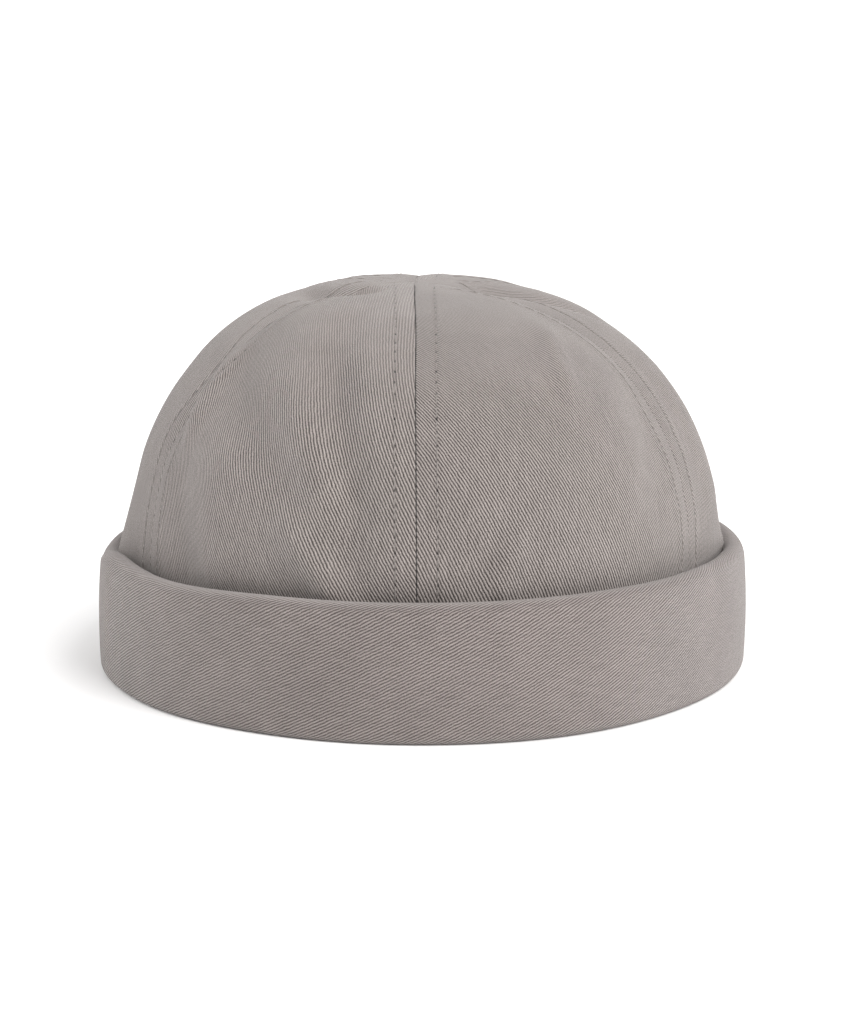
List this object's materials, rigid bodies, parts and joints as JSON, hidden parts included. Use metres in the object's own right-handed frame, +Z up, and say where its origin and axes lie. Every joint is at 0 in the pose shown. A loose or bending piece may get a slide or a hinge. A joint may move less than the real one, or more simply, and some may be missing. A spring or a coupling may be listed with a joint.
{
  "type": "watch cap",
  "caption": "Short brimless watch cap in woven twill, with a round crown sewn from curved panels and a wide turned up cuff, worn on the head.",
  "frame": {"origin": "middle of the opening, on the surface that the cuff's bottom fold rests on", "axes": "+Z up to the top of the crown, -Y to the front, +X to the right as seen from the front"},
  "size_m": [0.1798, 0.2116, 0.1049],
  "materials": {
    "crown_twill": "matte woven cotton twill, grey taupe",
    "cuff_twill": "matte woven cotton twill, grey taupe"
  },
  "bodies": {
    "root": {"panel_front_left": "crown_twill", "panel_front_right": "crown_twill", "panel_right": "crown_twill", "panel_back_right": "crown_twill", "panel_back_left": "crown_twill", "panel_left": "crown_twill", "turned_up_cuff": "cuff_twill"}
  },
  "joints": []
}
